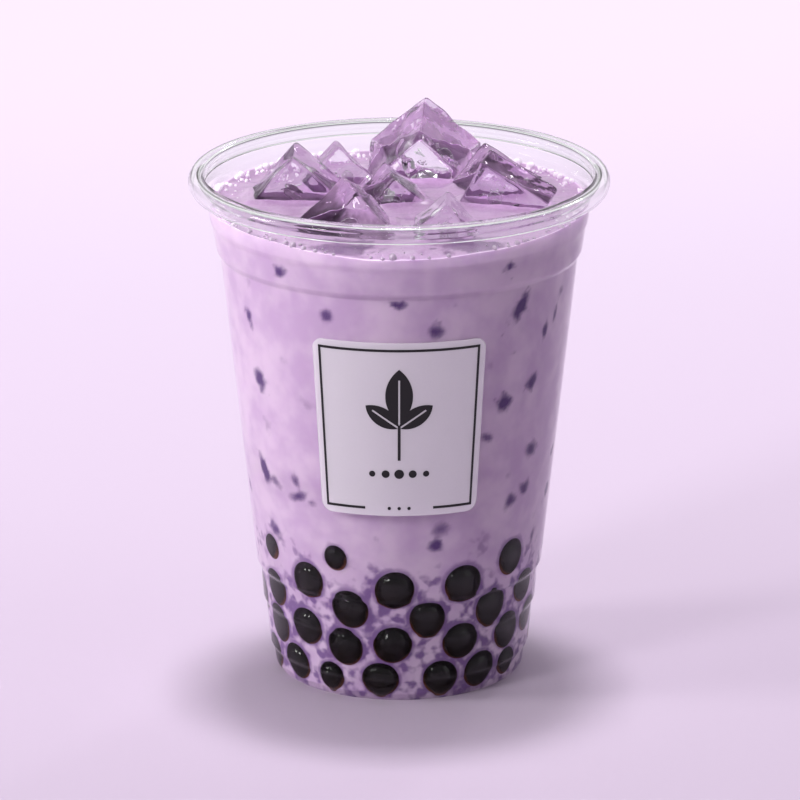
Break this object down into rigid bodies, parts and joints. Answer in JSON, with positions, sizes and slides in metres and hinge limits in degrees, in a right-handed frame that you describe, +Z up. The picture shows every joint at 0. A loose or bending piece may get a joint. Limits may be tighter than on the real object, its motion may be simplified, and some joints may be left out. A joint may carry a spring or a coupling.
{
  "type": "taro bubble tea in a clear plastic cup",
  "caption": "Round tapered clear cup with a rolled rim, filled with milky violet taro drink, ice floating at the top and dark tapioca pearls round the foot",
  "frame": {"origin": "centre of the cup's foot, on the surface that it stands on", "axes": "+Z up along the cup's axis, -Y towards the label"},
  "size_m": [0.098, 0.098, 0.1301],
  "materials": {
    "clear_plastic": "clear, smooth, thin moulded plastic",
    "taro_milk": "opaque milky violet drink with darker violet flecks",
    "ice": "clear wet ice",
    "tapioca": "near-black wet jelly with brown edges",
    "label_film": "translucent frosted film with a thin black frame"
  },
  "bodies": {
    "root": {"cup": "clear_plastic", "drink": "taro_milk", "ice_back": "ice", "ice_front": "ice", "ice_front_right": "ice", "ice_left": "ice", "ice_left_back": "ice", "ice_middle": "ice", "ice_right": "ice", "ice_right_back": "ice", "label": "label_film", "pearl_01": "tapioca", "pearl_02": "tapioca", "pearl_03": "tapioca", "pearl_04": "tapioca", "pearl_05": "tapioca", "pearl_06": "tapioca", "pearl_07": "tapioca", "pearl_08": "tapioca", "pearl_09": "tapioca", "pearl_10": "tapioca", "pearl_11": "tapioca", "pearl_12": "tapioca", "pearl_13": "tapioca", "pearl_14": "tapioca", "pearl_15": "tapioca", "pearl_16": "tapioca", "pearl_17": "tapioca", "pearl_18": "tapioca", "pearl_19": "tapioca", "pearl_20": "tapioca", "pearl_21": "tapioca", "pearl_22": "tapioca", "pearl_23": "tapioca", "pearl_24": "tapioca", "pearl_25": "tapioca", "pearl_26": "tapioca", "pearl_27": "tapioca", "pearl_28": "tapioca", "pearl_29": "tapioca", "pearl_30": "tapioca", "pearl_31": "tapioca", "pearl_32": "tapioca", "pearl_33": "tapioca", "pearl_34": "tapioca", "pearl_35": "tapioca", "pearl_36": "tapioca", "pearl_37": "tapioca", "pearl_38": "tapioca", "pearl_39": "tapioca", "pearl_40": "tapioca", "pearl_41": "tapioca", "pearl_42": "tapioca", "pearl_43": "tapioca", "pearl_44": "tapioca", "pearl_45": "tapioca"}
  },
  "joints": []
}
